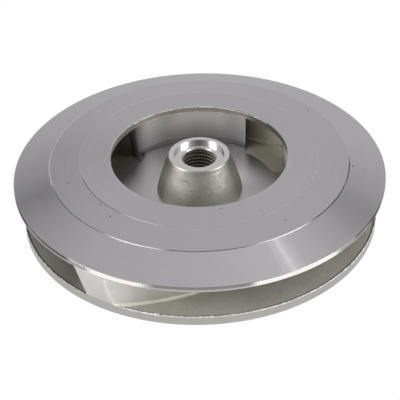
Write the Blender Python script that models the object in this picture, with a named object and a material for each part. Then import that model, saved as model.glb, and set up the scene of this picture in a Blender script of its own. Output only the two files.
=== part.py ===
"""Closed pump impeller, a one-piece stainless casting with three backward-swept vanes.

The casting is modelled the way it is made. A turned blank gives both shrouds, the hub and
the machined edges. Three cores, one for each water passage, are then cut out of it, and
what is left between two cores is a vane. Metres, +Z up, the eye looks up, and the origin
is on the axis in the plane of the back face.
"""
import math

import bmesh
import bpy

# Overall sizes
FRONT_RADIUS = 0.0900
BACK_RADIUS = 0.0864
HEIGHT = 0.0341

# Front shroud, from the eye outwards: flat land, scribed line, shallow bevel, steep bevel
EYE_RADIUS = 0.0428
LAND_RADIUS = 0.0580
LAND_Z = 0.0331
BEVEL_RADIUS = 0.0725
BEVEL_Z = 0.0312
RIM_TOP_Z = 0.0249
RIM_LOW_Z = 0.0226
RIM_CHAMFER_RADIUS = 0.0893
RIM_CHAMFER_Z = 0.0217

# Turned pocket inside the eye
POCKET_FLOOR_Z = 0.0141
POCKET_FILLET = 0.0016
EYE_EDGE = 0.0002

# Water passage between the shrouds, both walls conical; its floor starts just below the pocket's
ROOF_EYE_Z = 0.0309
ROOF_RIM_Z = 0.0219
FLOOR_EYE_RADIUS = 0.0394
FLOOR_EYE_Z = 0.0138
FLOOR_RIM_Z = 0.0047
PASSAGE_FILLET = 0.0018
CONCAVE_FILLET = 0.0006

# Hub, with its counterbore and the thread's minor diameter (M18 x 2)
HUB_TOP_RADIUS = 0.0150
HUB_FOOT_RADIUS = 0.0209
HUB_BULGE = 0.0005
HUB_FOOT_FILLET = 0.0012
HUB_EDGE = 0.0004
COUNTERBORE_RADIUS = 0.0122
COUNTERBORE_DEPTH = 0.0020
THREAD_MINOR_RADIUS = 0.0079
THREAD_LEAD_IN = 0.0007

# Back of the casting: turned ring, dished shroud of even wall, boss against the shaft
BACK_EDGE = 0.0004
BACK_RING_RADIUS = 0.0765
BACK_WALL = 0.0046
BOSS_RADIUS = 0.0200
BOSS_DRAFT = 0.0015
BACK_FILLET = 0.0025

# Vanes, seen from the eye; angles in degrees, counter-clockwise from +X
VANE_COUNT = 3
VANE_FIRST_ANGLE = 0.0
CONCAVE_TIP_ANGLE = -7.8
CONCAVE_SLOPE = 0.41
CONCAVE_END_ANGLE = 62.0
CONCAVE_END_RADIUS = 0.0535
CONCAVE_END_CURVE = 0.0000148
CONVEX_TIP_ANGLE = 2.3
CONVEX_SLOPE_TIP = 0.44
CONVEX_SLOPE_NOSE = 0.07
NOSE_ANGLE = 138.0
NOSE_ROUNDING = 9.0
NOSE_TIP_RADIUS = 0.0460
NOSE_INNER_ROUNDING = 6.0
MOUTH_CORNER_ANGLE = 55.1
LEAN_ANGLE = 2.3

# How finely the curves are divided
TURN_STEPS = 72
FILLET_STEPS = 3
HUB_SIDE_STEPS = 4
NOSE_STEPS = 4
CORE_STATION_DEGREES = 4.0

# How far a core runs on past the rim and into the eye, where it cuts nothing more
CORE_OVERRUN = 0.0040
CORE_REACH = 0.0063
NOSE_CUT_IN = 0.0003
NOSE_CUT_PAST = 1.5
MOUTH_EDGE_RADIUS = 0.0380
NOSE_CLEARANCE = 0.0001


def new_object(name, mesh):
    """Put a finished mesh in the scene under a plain name."""
    piece = bpy.data.objects.new(name, mesh)
    bpy.context.scene.collection.objects.link(piece)
    return piece


def cast_steel():
    """Stainless casting steel, satin where it has been turned."""
    material = bpy.data.materials.new("cast_stainless")
    material.use_nodes = True
    shader = material.node_tree.nodes["Principled BSDF"]
    shader.inputs["Base Color"].default_value = (0.42, 0.41, 0.41, 1.0)
    shader.inputs["Metallic"].default_value = 1.0
    shader.inputs["Roughness"].default_value = 0.38
    return material


def roof_z(radius):
    """Height of the front shroud's underside."""
    slope = (ROOF_RIM_Z - ROOF_EYE_Z) / (RIM_CHAMFER_RADIUS - EYE_RADIUS)
    return ROOF_EYE_Z + slope * (radius - EYE_RADIUS)


def floor_z(radius):
    """Height of the back shroud's inner face outside the eye."""
    slope = (FLOOR_RIM_Z - FLOOR_EYE_Z) / (BACK_RADIUS - FLOOR_EYE_RADIUS)
    return FLOOR_EYE_Z + slope * (radius - FLOOR_EYE_RADIUS)


def fillet(corner, before, after, size):
    """Points of an arc that rounds a profile's corner; before and after are its neighbours."""
    def unit(target):
        dr, dz = target[0] - corner[0], target[1] - corner[1]
        length = math.hypot(dr, dz)
        return dr / length, dz / length

    (ur, uz), (vr, vz) = unit(before), unit(after)
    half = 0.5 * math.acos(max(-1.0, min(1.0, ur * vr + uz * vz)))
    reach = size / math.sin(half)
    br, bz = ur + vr, uz + vz
    scale = reach / math.hypot(br, bz)
    centre = corner[0] + br * scale, corner[1] + bz * scale
    tangent = size / math.tan(half)
    start = corner[0] + ur * tangent - centre[0], corner[1] + uz * tangent - centre[1]
    end = corner[0] + vr * tangent - centre[0], corner[1] + vz * tangent - centre[1]
    sweep = math.pi - 2.0 * half
    turn = math.copysign(sweep, start[0] * end[1] - start[1] * end[0])
    points = []
    for step in range(FILLET_STEPS + 1):
        angle = turn * step / FILLET_STEPS
        c, s = math.cos(angle), math.sin(angle)
        points.append((centre[0] + c * start[0] - s * start[1], centre[1] + s * start[0] + c * start[1]))
    return points


def hub_side(top, foot):
    """Points down the hub's tapered side, which swells a little in the middle."""
    points = []
    for step in range(HUB_SIDE_STEPS + 1):
        share = step / HUB_SIDE_STEPS
        radius = top[0] + (foot[0] - top[0]) * share + 4.0 * HUB_BULGE * share * (1.0 - share)
        points.append((radius, top[1] + (foot[1] - top[1]) * share))
    return points


def blank_profile():
    """Closed (radius, height) outline of the turned blank, from the bore round to the back."""
    hub_foot = (HUB_FOOT_RADIUS, POCKET_FLOOR_Z)
    hub_shoulder = (HUB_TOP_RADIUS, HEIGHT - HUB_EDGE)
    pocket_corner = (EYE_RADIUS, POCKET_FLOOR_Z)
    eye_top = (EYE_RADIUS, HEIGHT - EYE_EDGE)
    dish_outer = (BACK_RING_RADIUS - BOSS_DRAFT, floor_z(BACK_RING_RADIUS) - BACK_WALL)
    dish_knee = (EYE_RADIUS - BACK_FILLET, POCKET_FLOOR_Z - BACK_WALL)
    boss_foot = (BOSS_RADIUS + BOSS_DRAFT, POCKET_FLOOR_Z - BACK_WALL)
    boss_rim = (BOSS_RADIUS, BACK_EDGE)
    lead_in_radius = THREAD_MINOR_RADIUS + THREAD_LEAD_IN
    counterbore_z = HEIGHT - COUNTERBORE_DEPTH

    front = [
        (THREAD_MINOR_RADIUS, counterbore_z - THREAD_LEAD_IN),
        (lead_in_radius, counterbore_z),
        (COUNTERBORE_RADIUS, counterbore_z),
        (COUNTERBORE_RADIUS, HEIGHT),
        (HUB_TOP_RADIUS - HUB_EDGE, HEIGHT),
    ]
    side = hub_side(hub_shoulder, hub_foot)
    pocket = side[:-1] + fillet(hub_foot, side[-2], pocket_corner, HUB_FOOT_FILLET)
    pocket += fillet(pocket_corner, hub_foot, eye_top, POCKET_FILLET)
    shroud = [
        eye_top,
        (EYE_RADIUS + EYE_EDGE, HEIGHT),
        (LAND_RADIUS, LAND_Z),
        (BEVEL_RADIUS, BEVEL_Z),
        (FRONT_RADIUS, RIM_TOP_Z),
        (FRONT_RADIUS, RIM_LOW_Z),
        (RIM_CHAMFER_RADIUS, RIM_CHAMFER_Z),
        (BACK_RADIUS, FLOOR_RIM_Z + BACK_EDGE),
        (BACK_RADIUS, BACK_EDGE),
        (BACK_RADIUS - BACK_EDGE, 0.0),
    ]
    back = [(BACK_RING_RADIUS, 0.0)]
    back += fillet(dish_outer, back[0], dish_knee, BACK_FILLET / 2)
    back += [dish_knee]
    back += fillet(boss_foot, dish_knee, boss_rim, BACK_FILLET)
    back += [
        boss_rim,
        (BOSS_RADIUS - BACK_EDGE, 0.0),
        (lead_in_radius, 0.0),
        (THREAD_MINOR_RADIUS, THREAD_LEAD_IN),
    ]
    return front + pocket + shroud + back


def turned_blank():
    """Spin the profile round the axis, as on a lathe."""
    mesh = bpy.data.meshes.new("impeller_casting")
    work = bmesh.new()
    ring = [work.verts.new((radius, 0.0, height)) for radius, height in blank_profile()]
    edges = [work.edges.new((a, b)) for a, b in zip(ring, ring[1:] + ring[:1])]
    bmesh.ops.spin(work, geom=ring + edges, cent=(0, 0, 0), axis=(0, 0, 1),
                   angle=2.0 * math.pi, steps=TURN_STEPS, use_merge=True)
    bmesh.ops.remove_doubles(work, verts=work.verts, dist=1e-6)
    bmesh.ops.recalc_face_normals(work, faces=work.faces)
    work.to_mesh(mesh)
    work.free()
    return new_object("impeller_casting", mesh)


def convex_radius(angle):
    """Outer side of the vane whose tip is near angle 0, at floor level."""
    turn = math.radians(angle - CONVEX_TIP_ANGLE)
    full_turn = math.radians(NOSE_ANGLE - CONVEX_TIP_ANGLE)
    easing = (CONVEX_SLOPE_TIP - CONVEX_SLOPE_NOSE) / full_turn
    spiral = BACK_RADIUS * math.exp(-(CONVEX_SLOPE_TIP * turn - 0.5 * easing * turn * turn))
    past_nose = (angle - NOSE_ANGLE + NOSE_ROUNDING) / NOSE_ROUNDING
    if past_nose <= 0.0:
        return spiral
    if past_nose >= 1.0:
        return EYE_RADIUS - CORE_REACH
    return NOSE_TIP_RADIUS + (spiral - NOSE_TIP_RADIUS) * math.sqrt(1.0 - past_nose ** 2)


def concave_radius(angle):
    """Inner side of the same vane, a logarithmic spiral that flattens at its inner end."""
    spiral = BACK_RADIUS * math.exp(-CONCAVE_SLOPE * math.radians(angle - CONCAVE_TIP_ANGLE))
    inner_end = CONCAVE_END_RADIUS + CONCAVE_END_CURVE * (CONCAVE_END_ANGLE - angle) ** 2
    if angle > CONCAVE_END_ANGLE / 2:
        spiral = min(spiral, inner_end) if angle < CONCAVE_END_ANGLE - 6.0 else inner_end
    return min(spiral, FRONT_RADIUS + CORE_OVERRUN)


def core_stations():
    """Angles of the core's cross-sections: even steps, and close ones round the vane's nose."""
    pitch = 360.0 / VANE_COUNT
    start = CONVEX_TIP_ANGLE - 8.5
    end = pitch + CONCAVE_END_ANGLE
    steps = math.ceil((end - start) / CORE_STATION_DEGREES)
    angles = [start + (end - start) * step / steps for step in range(steps + 1)]
    nose = [NOSE_ANGLE - NOSE_ROUNDING * (1.0 - part) for part in (0.0, 0.4, 0.7, 0.9, 0.98, 1.0)]
    clear = [a for a in angles if min(abs(a - n) for n in nose) > 0.9]
    return sorted(clear + nose)


def core_section(angle):
    """One closed cross-section of a core: (radius, height, angle) points with rounded corners."""
    pitch = 360.0 / VANE_COUNT
    end = pitch + CONCAVE_END_ANGLE
    past_nose = max(0.0, (angle - NOSE_ANGLE) / (end - NOSE_ANGLE))
    inside_eye = EYE_RADIUS - CORE_REACH
    end_skew = (CONCAVE_END_ANGLE - MOUTH_CORNER_ANGLE) * (CONCAVE_END_RADIUS - inside_eye)
    end_skew /= CONCAVE_END_RADIUS - EYE_RADIUS
    skew = past_nose ** 2 * end_skew
    lean = (1.0 - past_nose) * LEAN_ANGLE
    inner = convex_radius(angle)
    outer = concave_radius(angle - pitch)
    corners = [
        (inner, floor_z(inner)), (outer, floor_z(outer)),
        (outer, roof_z(outer)), (inner, roof_z(inner)),
    ]
    narrow = 0.3 * (outer - inner)
    outline = []
    for index, corner in enumerate(corners):
        size = min(CONCAVE_FILLET if corner[0] == outer else PASSAGE_FILLET, narrow)
        outline += fillet(corner, corners[index - 1], corners[(index + 1) % 4], size)
    section = []
    for radius, height in outline:
        rise = (height - floor_z(radius)) / (roof_z(radius) - floor_z(radius))
        inward = (outer - radius) / (outer - inner)
        section.append((radius, height, angle + lean * rise - skew * inward))
    return section


def passage_core(number):
    """The sand core of one water passage, lofted along its cross-sections."""
    turn = VANE_FIRST_ANGLE + 360.0 / VANE_COUNT * number
    mesh = bpy.data.meshes.new(f"passage_core_{number + 1}")
    work = bmesh.new()
    rings = []
    for angle in core_stations():
        ring = []
        for radius, height, place in core_section(angle):
            around = math.radians(place + turn)
            ring.append(work.verts.new((radius * math.cos(around), radius * math.sin(around), height)))
        rings.append(ring)
    for one, other in zip(rings, rings[1:]):
        for index in range(len(one)):
            work.faces.new((one[index - 1], one[index], other[index], other[index - 1]))
    work.faces.new(reversed(rings[0]))
    work.faces.new(rings[-1])
    bmesh.ops.triangulate(work, faces=work.faces)
    bmesh.ops.recalc_face_normals(work, faces=work.faces)
    work.to_mesh(mesh)
    work.free()
    core = new_object(mesh.name, mesh)
    core.hide_render = True
    core.display_type = 'WIRE'
    return core


def nose_cutter(number):
    """Rounds the inner corner of a vane's nose, where the wall of the eye turns into a passage."""
    turn = VANE_FIRST_ANGLE + 360.0 / VANE_COUNT * number
    start = NOSE_ANGLE - NOSE_INNER_ROUNDING
    wall = EYE_RADIUS - NOSE_CUT_IN
    quarter = [math.radians(90.0 * step / NOSE_STEPS) for step in range(NOSE_STEPS + 1)]
    outline = []
    for part in quarter:
        radius = NOSE_TIP_RADIUS - (NOSE_TIP_RADIUS - wall) * math.cos(part)
        outline.append((radius, start + NOSE_INNER_ROUNDING * math.sin(part)))
    past = NOSE_ANGLE + NOSE_CUT_PAST
    outline += [(NOSE_TIP_RADIUS, past), (MOUTH_EDGE_RADIUS, past)]
    for part in quarter[:-1]:
        radius = wall - (wall - MOUTH_EDGE_RADIUS) * math.cos(part)
        outline.append((radius, NOSE_ANGLE - NOSE_INNER_ROUNDING * math.sin(part)))
    mesh = bpy.data.meshes.new(f"nose_cutter_{number + 1}")
    work = bmesh.new()
    rings = []
    for surface, clearance, lean in ((floor_z, NOSE_CLEARANCE, 0.0), (roof_z, -NOSE_CLEARANCE, LEAN_ANGLE)):
        ring = []
        for radius, place in outline:
            around = math.radians(place + turn + lean)
            level = surface(radius) + clearance
            ring.append(work.verts.new((radius * math.cos(around), radius * math.sin(around), level)))
        rings.append(ring)
    low, high = rings
    for index in range(len(low)):
        work.faces.new((low[index - 1], low[index], high[index], high[index - 1]))
    work.faces.new(reversed(low))
    work.faces.new(high)
    bmesh.ops.triangulate(work, faces=work.faces)
    bmesh.ops.recalc_face_normals(work, faces=work.faces)
    work.to_mesh(mesh)
    work.free()
    cutter = new_object(mesh.name, mesh)
    cutter.hide_render = True
    cutter.display_type = 'WIRE'
    return cutter


def impeller_casting():
    """The finished casting: the turned blank less its cores, with the vanes' noses rounded."""
    casting = turned_blank()
    casting.data.materials.append(cast_steel())
    cutters = [passage_core(number) for number in range(VANE_COUNT)]
    cutters += [nose_cutter(number) for number in range(VANE_COUNT)]
    for cutter in cutters:
        cut = casting.modifiers.new(cutter.name, 'BOOLEAN')
        cut.operation = 'DIFFERENCE'
        cut.solver = 'EXACT'
        cut.object = cutter
    casting.data.shade_smooth()
    casting.data.set_sharp_from_angle(angle=math.radians(30.0))
    return casting


def main():
    for old in list(bpy.data.objects):
        bpy.data.objects.remove(old, do_unlink=True)
    impeller_casting()


main()
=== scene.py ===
# %% [markdown]
# # A closed pump impeller, cell by cell
#
# The object is one stainless casting. A foundry pours it round three sand cores, which leave
# three curved water passages, and a lathe turns the faces that have to run true. After the
# camera, the studio and the finishes, this lesson follows the workshop: turn a blank, take the
# cores out of it, shape the hub, cut the thread and add the torn burrs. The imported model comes
# first, because every size below is measured from it or stands beside it.

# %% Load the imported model
from math import ceil, copysign, cos, exp, hypot, pi, radians, sin, sqrt, tan

import bmesh
import bpy
from mathutils import Matrix, Vector, noise


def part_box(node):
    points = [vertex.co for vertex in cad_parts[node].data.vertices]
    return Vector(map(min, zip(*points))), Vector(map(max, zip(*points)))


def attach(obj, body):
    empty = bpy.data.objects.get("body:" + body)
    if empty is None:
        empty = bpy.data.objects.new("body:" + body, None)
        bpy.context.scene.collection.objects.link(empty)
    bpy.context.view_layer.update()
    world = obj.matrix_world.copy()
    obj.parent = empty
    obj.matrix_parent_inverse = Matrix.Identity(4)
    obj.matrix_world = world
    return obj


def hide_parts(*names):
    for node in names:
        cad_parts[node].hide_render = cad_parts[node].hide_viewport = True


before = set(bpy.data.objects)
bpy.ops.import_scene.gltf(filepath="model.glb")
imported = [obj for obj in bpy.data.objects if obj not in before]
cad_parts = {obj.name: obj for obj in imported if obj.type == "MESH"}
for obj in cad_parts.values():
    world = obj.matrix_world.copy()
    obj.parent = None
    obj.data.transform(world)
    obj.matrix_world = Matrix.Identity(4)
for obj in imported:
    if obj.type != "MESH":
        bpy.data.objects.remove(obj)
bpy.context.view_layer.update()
casting_low, casting_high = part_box("impeller_casting")
front_radius = (casting_high[0] - casting_low[0]) / 2
height = casting_high[2]
print("casting:", round(front_radius * 2000, 1), "mm across,", round(height * 1000, 1), "mm high")

# %% [markdown]
# ## The camera
#
# The photograph looks down at the eye from about 36 degrees, and a long lens keeps the near and
# the far side of the ring almost the same width. A constraint could aim the camera, but a
# direction worked out from two angles leaves nothing behind that moves later. The picture is
# turned by a degree and a half, as the photograph is.

# %% Camera
CAMERA_AIM = Vector((-0.00009, 0.0, 0.0066))
CAMERA_DISTANCE = 0.72074
CAMERA_ELEVATION = 36.1396
CAMERA_ROLL = -1.4934
CAMERA_LENS = 131.449


def make_camera():
    """A camera in front of the impeller, turned about its own view line by the roll."""
    elevation = radians(CAMERA_ELEVATION)
    roll = radians(CAMERA_ROLL)
    back = Vector((0.0, -cos(elevation), sin(elevation)))
    level = Vector((1.0, 0.0, 0.0))
    upright = back.cross(level)
    right = cos(roll) * level + sin(roll) * upright
    up = cos(roll) * upright - sin(roll) * level
    lens = bpy.data.cameras.new("camera")
    lens.lens = CAMERA_LENS
    lens.clip_start = 0.01
    camera = bpy.data.objects.new("camera", lens)
    bpy.context.scene.collection.objects.link(camera)
    turn = Matrix((right, up, back)).transposed().to_4x4()
    camera.matrix_world = Matrix.Translation(CAMERA_AIM + back * CAMERA_DISTANCE) @ turn
    bpy.context.scene.camera = camera
    return camera


camera = make_camera()
print("camera at", [round(value, 3) for value in camera.matrix_world.translation])

# %% [markdown]
# ## Writing nodes as arithmetic
#
# A material is a small program, and placing every Math node by hand makes it hard to read. So one
# class wraps a socket and turns +, -, * and / into Math nodes, and every other node comes from
# one method, `add`. The same two serve materials, the studio and the geometry trees.

# %% Sockets and nodes


class Signal:
    """The output of a node; arithmetic on it adds Math nodes to its tree."""

    def __init__(self, graph, socket):
        self.graph = graph
        self.socket = socket

    def math(self, operation, *others):
        """A Math node with this signal in its first socket."""
        return self.graph.add("ShaderNodeMath", dict(enumerate((self, *others))), operation=operation)

    def __add__(self, other):
        return self.math('ADD', other)

    def __sub__(self, other):
        return self.math('SUBTRACT', other)

    def __rsub__(self, other):
        return self.graph.number(other).math('SUBTRACT', self)

    def __mul__(self, other):
        return self.math('MULTIPLY', other)

    def __truediv__(self, other):
        return self.math('DIVIDE', other)

    __radd__, __rmul__ = __add__, __mul__

    def clamp(self):
        """The signal held between 0 and 1."""
        return self.math('MINIMUM', 1.0).math('MAXIMUM', 0.0)

    def between(self, low, high):
        """0 below low, 1 above high and smooth in between."""
        values = {"Value": self, "From Min": low, "From Max": high}
        return self.graph.add("ShaderNodeMapRange", values, interpolation_type='SMOOTHSTEP')


class Graph:
    """A node tree that is being written."""

    def __init__(self, tree):
        self.tree = tree

    def add(self, kind, values=None, output=0, **settings):
        """One new node with its sockets, each a number, a colour or a signal, and its settings."""
        node = self.tree.nodes.new(kind)
        for name, value in settings.items():
            setattr(node, name, value)
        for name, value in (values or {}).items():
            if isinstance(value, Signal):
                self.tree.links.new(value.socket, node.inputs[name])
            else:
                node.inputs[name].default_value = value
        return Signal(self, node.outputs[output]) if node.outputs else node

    def ramp(self, factor, stops):
        """A colour ramp from (place, colour) pairs."""
        signal = self.add("ShaderNodeValToRGB", {0: factor})
        elements = signal.socket.node.color_ramp.elements
        while len(elements) < len(stops):
            elements.new(1.0)
        for element, (place, colour) in zip(elements, stops):
            element.position, element.color = place, colour
        return signal

    def number(self, value):
        """A constant as a signal."""
        signal = self.add("ShaderNodeValue")
        signal.socket.default_value = value
        return signal

    def join(self, *parts):
        """Several geometries as one."""
        whole = self.add("GeometryNodeJoinGeometry")
        for part in parts:
            self.tree.links.new(part.socket, whole.socket.node.inputs[0])
        return whole

    def blend(self, factor, low, high):
        """Mix two colours."""
        return self.add("ShaderNodeMix", {0: factor, 6: low, 7: high}, output=2, data_type='RGBA')

    def scaled(self, colour, factor):
        """A colour made darker or brighter."""
        return self.add("ShaderNodeVectorMath", {0: colour, "Scale": factor}, operation='SCALE')

    def place(self):
        """The Object coordinates: the point itself, its x, y and z, and its distance from the axis."""
        point = self.add("ShaderNodeTexCoord", output="Object")
        split = self.add("ShaderNodeSeparateXYZ", {0: point}).socket.node
        x, y, z = (Signal(self, socket) for socket in split.outputs)
        radius = (x * x + y * y).math('SQRT')
        return point, x, y, z, radius


def new_material(name):
    """An empty material with its graph."""
    material = bpy.data.materials.new(name)
    material.use_nodes = True
    material.node_tree.nodes.clear()
    return material, Graph(material.node_tree)


print("helpers:", Signal.__name__, "for sockets and", Graph.__name__, "for trees")

# %% [markdown]
# ## The studio
#
# Bare metal shows its surroundings more than itself. The part in the photograph mirrors what
# looks like a white tent with bright lamps low at its sides, and darker parts of the room show in
# its bevels. Cards and area lamps could build that. Here the world is the tent: an even grey,
# plus soft lobes, each one a direction, a width and a strength. The floor shines by itself, so it
# stays pale and without a shadow, and the upright rim mirrors its brighter and darker arcs as
# bands.

# %% Studio
TENT_LEVEL, TENT_DARKEST = 0.86, 0.02
TENT_LOBES = [
    # azimuth, elevation, sharpness, strength
    (122.0, 34.0, 30.0, -0.66),
    (52.0, 43.0, 30.0, -0.50),
    (50.0, 64.0, 110.0, 0.75),
    (270.0, 42.0, 6.0, -0.72),
    (335.0, 14.0, 12.0, 0.6),
    (202.0, 27.0, 45.0, 11.0),
    (339.0, 27.0, 45.0, 10.0),
]
FLOOR_LEVEL, FLOOR_DARKEST = 0.62, 0.05
FLOOR_SIZE = 3.0
FLOOR_ARCS = [
    # middle azimuth, half width in degrees, inner radius, strength
    (181.0, 8.0, 0.0920, -0.42),
    (237.2, 11.2, 0.1060, 0.95),
    (307.0, 18.0, 0.1040, 0.92),
    (270.5, 22.0, 0.1040, 0.14),
    (352.0, 6.0, 0.0920, -0.35),
]
ARC_SOFTNESS = 2.5
ARC_OUTER_RADIUS = 0.150
ARC_FADE_IN, ARC_FADE_OUT = 0.004, 0.02
BORE_SHADE_RADIUS = 0.012


def window(x, y, middle, half_width, softness):
    """1 inside a range of azimuths and 0 outside it; angles in degrees."""
    turn = radians(middle)
    ahead = x * cos(turn) + y * sin(turn)
    aside = y * cos(turn) - x * sin(turn)
    apart = aside.math('ARCTAN2', ahead).math('ABSOLUTE') * (180.0 / pi)
    return 1.0 - apart.between(half_width - softness, half_width + softness)


def white_to_camera(graph, level, darkest):
    """Camera rays see plain white, and the metal sees the level."""
    seen = graph.add("ShaderNodeLightPath", output="Is Camera Ray")
    return level.math('MAXIMUM', darkest) * (1.0 - seen) + seen


def make_tent():
    """The world: an even level with lobes of light and shade."""
    world = bpy.data.worlds.new("studio")
    world.use_nodes = True
    world.node_tree.nodes.clear()
    graph = Graph(world.node_tree)
    direction = graph.add("ShaderNodeTexCoord", output="Generated")
    level = graph.number(TENT_LEVEL)
    for azimuth, elevation, sharpness, strength in TENT_LOBES:
        turn, rise = radians(azimuth), radians(elevation)
        aim = (cos(rise) * cos(turn), cos(rise) * sin(turn), sin(rise))
        both = {0: direction, 1: aim}
        closeness = graph.add("ShaderNodeVectorMath", both, output="Value", operation='DOT_PRODUCT')
        level = level + ((closeness - 1.0) * sharpness).math('EXPONENT') * strength
    level = white_to_camera(graph, level, TENT_DARKEST)
    background = graph.add("ShaderNodeBackground", {"Strength": level})
    graph.add("ShaderNodeOutputWorld", {"Surface": background})
    bpy.context.scene.world = world
    bpy.context.scene.view_settings.view_transform = 'Standard'


def make_floor():
    """A large pale floor with the bright and dark arcs that the rim and the disc edge mirror."""
    half = FLOOR_SIZE / 2
    mesh = bpy.data.meshes.new("floor")
    corners = [(-half, -half, 0.0), (half, -half, 0.0), (half, half, 0.0), (-half, half, 0.0)]
    mesh.from_pydata(corners, [], [(0, 1, 2, 3)])
    material, graph = new_material("pale_floor")
    _, x, y, _, radius = graph.place()
    level = graph.number(FLOOR_LEVEL) * radius.between(BORE_SHADE_RADIUS / 2, BORE_SHADE_RADIUS)
    outside = 1.0 - radius.between(ARC_OUTER_RADIUS, ARC_OUTER_RADIUS + ARC_FADE_OUT)
    for middle, half_width, inner_radius, strength in FLOOR_ARCS:
        within = window(x, y, middle, half_width, ARC_SOFTNESS)
        beyond = radius.between(inner_radius, inner_radius + ARC_FADE_IN)
        level = level + within * outside * beyond * strength
    level = white_to_camera(graph, level, FLOOR_DARKEST)
    glow = graph.add("ShaderNodeEmission", {"Strength": level})
    graph.add("ShaderNodeOutputMaterial", {"Surface": glow})
    mesh.materials.append(material)
    floor = bpy.data.objects.new("floor", mesh)
    bpy.context.scene.collection.objects.link(floor)


make_tent()
make_floor()
print("tent of", len(TENT_LOBES), "lobes, floor with", len(FLOOR_ARCS), "arcs")

# %% [markdown]
# ## Turned steel
#
# The lathe left fine circular grooves. They scatter light across themselves and hardly along,
# which is why a turned disc shows fans of light that run from the middle outwards. Real grooves
# would need millions of faces. The Anisotropic value of the shader does it: with no tangent
# given, Blender lets the grooves run round the middle of the piece, and the middle is the axis.
# On top come the things that no tool leaves even: a cloudy polish, rings where the feed changed,
# and tiny pits where sand or gas opened the skin.

# %% Turned material
TURNED_LIGHT, TURNED_SHADE = (0.605, 0.590, 0.612, 1.0), (0.530, 0.512, 0.530, 1.0)
PIT_COLOUR = (0.10, 0.095, 0.09, 1.0)
CLOUD_SCALE, RING_SCALE, SCRATCH_SCALE = 28.0, 420.0, 900.0
PIT_SPACING, PIT_SIZE, PIT_DEPTH = 0.0115, 0.00062, 0.00012
PIT_FLOOR_SHARE, SPOT_FLOOR_SHARE = 0.55, 0.6
GROOVE_PITCH, GROOVE_DEPTH, SCRATCH_DEPTH = 0.00028, 0.000003, 0.000006
CHATTER_PITCH = 0.00125
RIM_SPLIT_Z, RIM_SPLIT_WIDTH, BAND_SOFTNESS = 0.0233, 0.0003, 1.5
EDGE_DARK, EDGE_BRIGHT = (0.060, 0.058, 0.058, 1.0), (0.980, 0.970, 0.960, 1.0)
EDGE_METALLIC, EDGE_ROUGHNESS = 0.35, 0.30
EDGE_SPECKLE_SCALE, EDGE_SPECKLE, EDGE_SOFTNESS = 300.0, 0.24, 5.0


def finish_material(graph, colour, roughness, height_map=None, anisotropic=0.0, metallic=1.0):
    """The shader that every metal here ends in; a height map becomes a bump."""
    values = {"Base Color": colour, "Metallic": metallic, "Roughness": roughness, "Anisotropic": anisotropic}
    if height_map is not None:
        bump = {"Strength": 1.0, "Distance": 1.0, "Height": height_map}
        values["Normal"] = graph.add("ShaderNodeBump", bump)
    shader = graph.add("ShaderNodeBsdfPrincipled", values)
    graph.add("ShaderNodeOutputMaterial", {"Surface": shader})


def cloud(graph, point, scale, detail=3.0):
    """Soft noise between 0 and 1."""
    return graph.add("ShaderNodeTexNoise", {"Vector": point, "Scale": scale, "Detail": detail})


def pit_mask(graph, point, spacing, size, share):
    """1 inside sparse round pits: one in each cell of a Voronoi pattern, kept for a share of cells."""
    values = {"Vector": point, "Scale": 1.0 / spacing}
    distance = graph.add("ShaderNodeTexVoronoi", values, output="Distance")
    draw = graph.add("ShaderNodeTexVoronoi", values, output="Color")
    chosen = graph.add("ShaderNodeSeparateColor", {0: draw})
    inside = 1.0 - distance.between(size / spacing * PIT_FLOOR_SHARE, size / spacing)
    return inside * chosen.between(1.0 - share, 1.0 - share + 0.01)


def turned_steel(name, roughness=0.33, anisotropic=0.55, light=TURNED_LIGHT, shade=TURNED_SHADE,
                 pits=0.16, chatter=0.0, painted_fans=(), spots=(), painted_dark_bands=()):
    """Lathe-turned stainless steel: satin, faintly violet, with rings, clouds, pits and chatter, plus
    painted light and shade in fans of azimuth and a painted dark band on the rim.
    """
    material, graph = new_material(name)
    point, x, y, z, radius = graph.place()
    clouds = cloud(graph, point, CLOUD_SCALE)
    rings = cloud(graph, graph.add("ShaderNodeCombineXYZ", {0: radius}), RING_SCALE, detail=2.0)
    holes = pit_mask(graph, point, PIT_SPACING, PIT_SIZE, pits)
    for distance, azimuth, size in spots:
        turn = radians(azimuth)
        aside, ahead = x - distance * cos(turn), y - distance * sin(turn)
        apart = (aside * aside + ahead * ahead).math('SQRT')
        holes = holes.math('MAXIMUM', 1.0 - apart.between(size * SPOT_FLOOR_SHARE, size))
    tone = (clouds * 0.55 + rings * 0.75 - 0.15).clamp()
    colour = graph.blend(tone, shade, light)
    # painted light and shade: the colour is brightened or darkened in fans of azimuth, standing in for
    # reflections on the turned grooves
    for middle, half_width, softness, strength in painted_fans:
        colour = graph.scaled(colour, window(x, y, middle, half_width, softness) * strength + 1.0)
    # painted dark reflection: the colour is darkened in a band over the upper half of the rim, in ranges of
    # azimuth
    for middle, half_width, strength in painted_dark_bands:
        band = window(x, y, middle, half_width, BAND_SOFTNESS)
        above = z.between(RIM_SPLIT_Z, RIM_SPLIT_Z + RIM_SPLIT_WIDTH)
        colour = graph.scaled(colour, band * above * strength + 1.0)
    colour = graph.blend(holes, colour, PIT_COLOUR)
    rough = clouds * 0.10 + rings * 0.08 + (roughness - 0.09)
    grooves = (radius * (2.0 * pi / GROOVE_PITCH)).math('SINE') * GROOVE_DEPTH
    scratches = cloud(graph, point, SCRATCH_SCALE, detail=1.0) * SCRATCH_DEPTH
    height_map = grooves + scratches - holes * PIT_DEPTH
    if chatter:
        flutes = (y.math('ARCTAN2', x) * (front_radius * 2.0 * pi / CHATTER_PITCH)).math('SINE')
        height_map = height_map + flutes * clouds * chatter
    finish_material(graph, colour, rough, height_map, anisotropic)
    return material


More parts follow.
